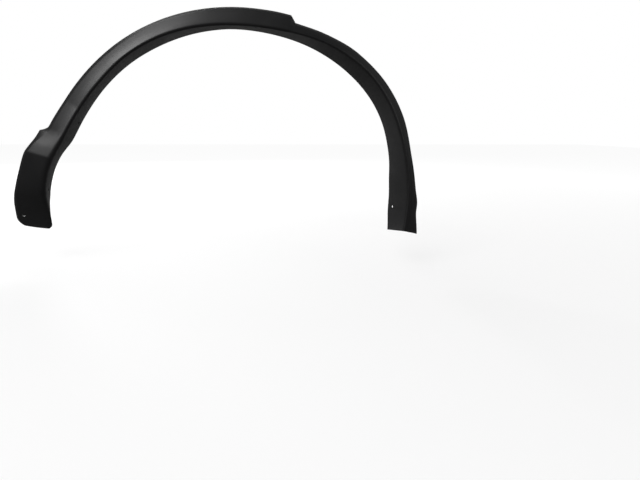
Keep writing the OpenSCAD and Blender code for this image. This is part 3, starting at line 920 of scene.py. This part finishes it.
def bored(name, mesh, depth):
    """The solid with the screw's bore through it."""
    piece = linked(name, mesh)
    bore = linked("bore", prism("bore", circle(SCREW_R), flat(-depth), flat(depth)))
    bpy.context.view_layer.update()
    cut(piece, [bore])
    return piece


def grommet_shape(name, flange, shank_len):
    """A flange with a square shank below it. Each is bored alone, because they overlap."""
    half = SHANK_W / 2
    square = box_outline(-half, half, -half, half)
    shank = prism("shank", square, flat(-shank_len), flat(SEAT_GAP + SHANK_IN_FLANGE))
    body = bored(name, flange, 2 * shank_len)
    joined(body, [bored("shank", softened(shank, SHANK_SOFT), 2 * shank_len).data])
    return body


rim_r = GROMMET_D / 2
flange_top = SEAT_GAP + GROMMET_T
flange_profile = [(0, SEAT_GAP), (rim_r - 0.3, SEAT_GAP), (rim_r, SEAT_GAP + 0.4),
                  (rim_r - 0.2, SEAT_GAP + 1.1), (rim_r - 0.9, flange_top), (0, flange_top)]
round_flange = lathe("flange", flange_profile, GROMMET_SIDES)
black_nylon = gloss_black()
grommets = seated_copies("screw_grommets", grommet_shape("grommet", round_flange, SHANK_LEN),
                         [seat_frame(angle, TOWER_INSET) for angle in GROMMET_AT], black_nylon)
smooth(grommets.data, 35)
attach(grommets, "root")
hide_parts("crown_grommet", "front_grommet", "rear_grommet")

leg_outline = box_outline(-LEG_FLANGE_W / 2, LEG_FLANGE_W / 2, -LEG_FLANGE_H / 2, LEG_FLANGE_H / 2)
leg_flange = softened(prism("flange", leg_outline, flat(SEAT_GAP), flat(flange_top)), LEG_FLANGE_SOFT)
leg_grommet = seated_copies("leg_screw_grommet", grommet_shape("grommet", leg_flange, LEG_SHANK_LEN),
                            [seat_frame(LEG_GROMMET_AT, LEG_INSET)], black_nylon)
smooth(leg_grommet.data, 35)
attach(leg_grommet, "root")
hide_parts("leg_grommet")


# Studio
# A pale floor below the hanging trim and a white surround that only the camera sees. Soft
# lamps stand high on the left, above, behind and, weakly, on the right.
FLOOR_Z = -0.62
FLOOR_HALF = 6.0


def floor_material():
    """Near white to the camera, with a faint shadow. The trim sees it dark, and darker in front."""
    material, nodes, links, surface = new_material("studio_floor")
    seen = nodes.new("ShaderNodeLightPath")
    place_node = nodes.new("ShaderNodeTexCoord")
    parts = nodes.new("ShaderNodeSeparateXYZ")
    links.new(place_node.outputs["Object"], parts.inputs["Vector"])
    bounce = nodes.new("ShaderNodeMapRange")
    bounce.inputs["From Min"].default_value = -0.4
    bounce.inputs["From Max"].default_value = 0.5
    bounce.inputs["To Min"].default_value = 0.05
    bounce.inputs["To Max"].default_value = 0.1
    links.new(parts.outputs["Y"], bounce.inputs["Value"])
    tone = nodes.new("ShaderNodeMix")
    tone.data_type = "RGBA"
    tone.inputs["B"].default_value = (0.2, 0.2, 0.2, 1)
    links.new(bounce.outputs["Result"], tone.inputs["A"])
    links.new(seen.outputs["Is Camera Ray"], tone.inputs["Factor"])
    links.new(tone.outputs["Result"], surface.inputs["Base Color"])
    surface.inputs["Roughness"].default_value = 0.9
    surface.inputs["Emission Color"].default_value = (1, 1, 1, 1)
    reach = nodes.new("ShaderNodeVectorMath")
    reach.operation = "LENGTH"
    links.new(place_node.outputs["Object"], reach.inputs[0])
    far = nodes.new("ShaderNodeMapRange")
    far.inputs["From Min"].default_value = 0.7
    far.inputs["From Max"].default_value = 3.0
    far.inputs["To Min"].default_value = 0.7
    far.inputs["To Max"].default_value = 0.93
    links.new(reach.outputs["Value"], far.inputs["Value"])
    glow = nodes.new("ShaderNodeMath")
    glow.operation = "MULTIPLY"
    links.new(far.outputs["Result"], glow.inputs[1])
    links.new(seen.outputs["Is Camera Ray"], glow.inputs[0])
    links.new(glow.outputs[0], surface.inputs["Emission Strength"])
    return material


floor_outline = box_outline(-FLOOR_HALF, FLOOR_HALF, -FLOOR_HALF, FLOOR_HALF)
floor = linked("floor", mesh_of("floor", [(x, y, FLOOR_Z) for x, y in floor_outline], [(0, 1, 2, 3)]))
floor.data.materials.append(floor_material())

world = bpy.data.worlds.new("surround")
bpy.context.scene.world = world
world.use_nodes = True
nodes = world.node_tree.nodes
links = world.node_tree.links
nodes.clear()
seen = nodes.new("ShaderNodeLightPath")
place_node = nodes.new("ShaderNodeTexCoord")
parts = nodes.new("ShaderNodeSeparateXYZ")
links.new(place_node.outputs["Generated"], parts.inputs["Vector"])
level = nodes.new("ShaderNodeMapRange")
level.inputs["From Min"].default_value = -0.6
level.inputs["From Max"].default_value = 0.8
level.inputs["To Min"].default_value = 0.025
level.inputs["To Max"].default_value = 0.17
links.new(parts.outputs["Y"], level.inputs["Value"])
dim = nodes.new("ShaderNodeBackground")
dim.inputs["Color"].default_value = (1, 1, 1, 1)
links.new(level.outputs["Result"], dim.inputs["Strength"])
white = nodes.new("ShaderNodeBackground")
white.inputs["Color"].default_value = (1, 1, 1, 1)
white.inputs["Strength"].default_value = 1.0
choice = nodes.new("ShaderNodeMixShader")
world_out = nodes.new("ShaderNodeOutputWorld")
links.new(seen.outputs["Is Camera Ray"], choice.inputs["Fac"])
links.new(dim.outputs["Background"], choice.inputs[1])
links.new(white.outputs["Background"], choice.inputs[2])
links.new(choice.outputs["Shader"], world_out.inputs["Surface"])


def soft_lamp(name, place, aim, width, height, power):
    data = bpy.data.lights.new(name, "AREA")
    data.shape = "RECTANGLE"
    data.size = width
    data.size_y = height
    data.energy = power
    lamp = bpy.data.objects.new(name, data)
    lamp.location = place
    lamp.rotation_euler = (Vector(aim) - Vector(place)).to_track_quat("-Z", "Y").to_euler()
    bpy.context.collection.objects.link(lamp)


soft_lamp("left_lamp", (-1.42, -1.9, 1.54), (-0.2, 0, -0.2), 1.6, 1.1, 62)
soft_lamp("top_lamp", (-0.7, -0.05, 1.7), (-0.1, 0, -0.1), 2.2, 0.9, 14)
soft_lamp("right_lamp", (2.0, -0.9, 0.3), (0.2, 0, -0.3), 1.0, 1.4, 5)
soft_lamp("back_lamp", (-0.5, 2.4, 0.8), (0, 0, -0.25), 2.0, 1.2, 75)

bpy.context.scene.view_settings.view_transform = "Standard"
